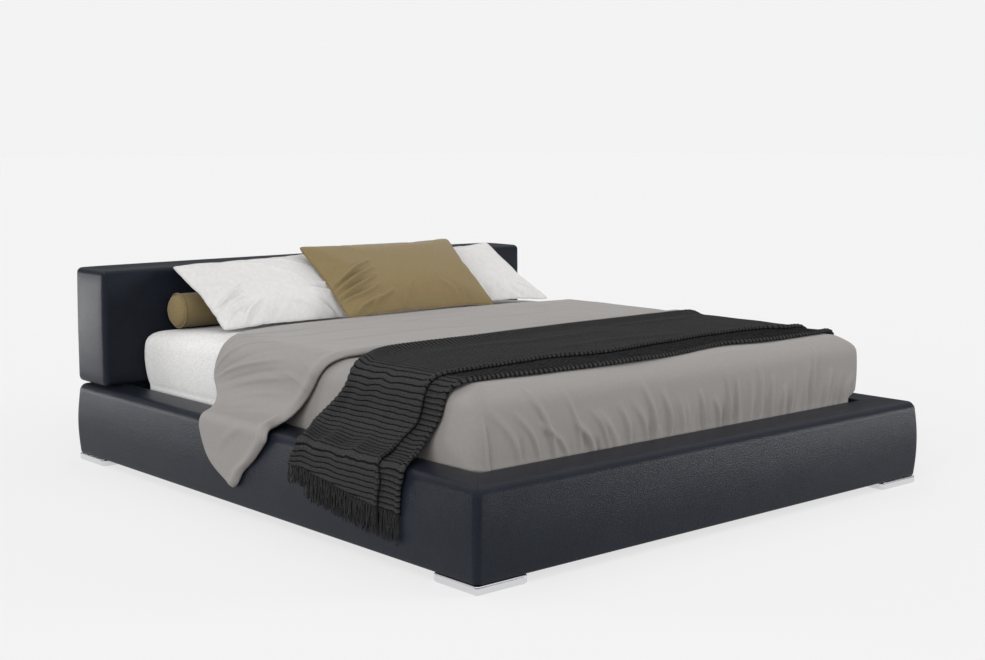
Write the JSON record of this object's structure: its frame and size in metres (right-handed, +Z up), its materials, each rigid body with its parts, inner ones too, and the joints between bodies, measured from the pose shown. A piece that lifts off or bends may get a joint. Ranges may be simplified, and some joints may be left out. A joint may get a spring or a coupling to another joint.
{
  "type": "upholstered storage platform bed",
  "caption": "Low leather-covered platform bed with a padded headboard, chrome corner feet, dressed mattress and a slatted platform that lifts at the foot end over a storage space.",
  "frame": {"origin": "on the floor under the middle of the bed, at the underside of the middle centre glide", "axes": "+X across the bed to the right seen from the foot end, +Y along the bed towards the headboard, +Z up"},
  "size_m": [2.151, 2.39, 0.8189],
  "materials": {
    "leather": "fine pebble grain, soft satin sheen, padded",
    "timber": "planed pine and board, unfinished",
    "plywood": "birch plywood, sanded",
    "chrome": "polished",
    "dark_steel": "dark grey powder coat",
    "zinc_steel": "zinc plated",
    "glide_plastic": "matt",
    "webbing": "ribbed webbing",
    "mattress_ticking": "quilted woven ticking",
    "sheet_linen": "washed linen, slightly mottled",
    "duvet_cotton": "smooth washed cotton",
    "throw_knit": "charcoal ribbed knit with a fringe",
    "white_cotton": "soft mottled cotton",
    "olive_cloth": "dense woven cloth"
  },
  "bodies": {
    "base": {"side_rail_cover_right": "leather", "side_rail_cover_left": "leather", "side_rail_frame_right": "timber", "side_rail_frame_left": "timber", "foot_rail_cover": "leather", "foot_rail_frame": "timber", "head_rail_cover": "leather", "head_rail_frame": "timber", "headboard_bar_right": "dark_steel", "headboard_bar_left": "dark_steel", "headboard_cover": "leather", "headboard_frame": "timber", "corner_foot_front_right": "chrome", "corner_foot_front_left": "chrome", "corner_foot_rear_right": "chrome", "corner_foot_rear_left": "chrome", "centre_beam": "dark_steel", "centre_glide_foot": "glide_plastic", "centre_glide_middle": "glide_plastic", "centre_glide_head": "glide_plastic", "storage_floor_right": "plywood", "storage_floor_left": "plywood", "foot_rest_strip": "timber", "lift_base_bracket_right": "zinc_steel", "lift_base_bracket_left": "zinc_steel"},
    "lift_arms": {"lift_arm_right": "dark_steel", "lift_arm_left": "dark_steel", "torsion_tube": "dark_steel"},
    "platform": {"platform_side_tube_right": "dark_steel", "platform_side_tube_left": "dark_steel", "platform_foot_tube": "dark_steel", "platform_head_tube": "dark_steel", "platform_centre_tube": "dark_steel", "slat_01": "timber", "slat_02": "timber", "slat_03": "timber", "slat_04": "timber", "slat_05": "timber", "slat_06": "timber", "slat_07": "timber", "slat_08": "timber", "slat_09": "timber", "slat_10": "timber", "pull_strap": "webbing", "platform_lug_right": "zinc_steel", "platform_lug_left": "zinc_steel", "mattress": "mattress_ticking", "fitted_sheet": "sheet_linen", "duvet": "duvet_cotton", "throw": "throw_knit", "white_pillow_left": "white_cotton", "white_pillow_right": "white_cotton", "centre_pillow": "olive_cloth", "bolster": "olive_cloth"},
    "front_link_right": {"front_link_right": "dark_steel"},
    "front_link_left": {"front_link_left": "dark_steel"},
    "gas_cylinder_right": {"gas_cylinder_right": "dark_steel"},
    "gas_cylinder_left": {"gas_cylinder_left": "dark_steel"},
    "gas_rod_right": {"gas_rod_right": "zinc_steel"},
    "gas_rod_left": {"gas_rod_left": "zinc_steel"}
  },
  "joints": [
    {"name": "lift_arm_pivot", "type": "hinge", "parent": "base", "child": "lift_arms", "pos_m": [0, 0.6194, 0.0776], "axis": [1, 0, 0], "range_deg": [0, 72.1]},
    {"name": "platform_lift", "type": "hinge", "parent": "lift_arms", "child": "platform", "pos_m": [0, 0.84, 0.25], "axis": [-1, 0, 0], "range_deg": [0, 96]},
    {"name": "front_link_pivot_right", "type": "hinge", "parent": "base", "child": "front_link_right", "pos_m": [0.91625, 0.528, 0.0769], "axis": [1, 0, 0], "range_deg": [0, 70.1]},
    {"name": "gas_cylinder_pivot_right", "type": "hinge", "parent": "base", "child": "gas_cylinder_right", "pos_m": [0.885, 0.9453, 0.072], "axis": [1, 0, 0], "range_deg": [-0.7, 0]},
    {"name": "gas_rod_slide_right", "type": "slide", "parent": "gas_cylinder_right", "child": "gas_rod_right", "axis": [0, -0.97, 0.2431], "range_m": [0, 0.1101]},
    {"name": "front_link_pivot_left", "type": "hinge", "parent": "base", "child": "front_link_left", "pos_m": [-0.91625, 0.528, 0.0769], "axis": [1, 0, 0], "range_deg": [0, 70.1]},
    {"name": "gas_cylinder_pivot_left", "type": "hinge", "parent": "base", "child": "gas_cylinder_left", "pos_m": [-0.885, 0.9453, 0.072], "axis": [1, 0, 0], "range_deg": [-0.7, 0]},
    {"name": "gas_rod_slide_left", "type": "slide", "parent": "gas_cylinder_left", "child": "gas_rod_left", "axis": [0, -0.97, 0.2431], "range_m": [0, 0.1101]}
  ],
  "couplings": [
    {"joint": "lift_arm_pivot", "follows": "platform_lift", "ratio": 0.75},
    {"joint": "front_link_pivot_right", "follows": "platform_lift", "ratio": 0.72863},
    {"joint": "gas_cylinder_pivot_right", "follows": "platform_lift", "ratio": -0.0059516},
    {"joint": "gas_rod_slide_right", "follows": "platform_lift", "m_per_rad": 0.065602},
    {"joint": "front_link_pivot_left", "follows": "platform_lift", "ratio": 0.72863},
    {"joint": "gas_cylinder_pivot_left", "follows": "platform_lift", "ratio": -0.0059516},
    {"joint": "gas_rod_slide_left", "follows": "platform_lift", "m_per_rad": 0.065602}
  ]
}
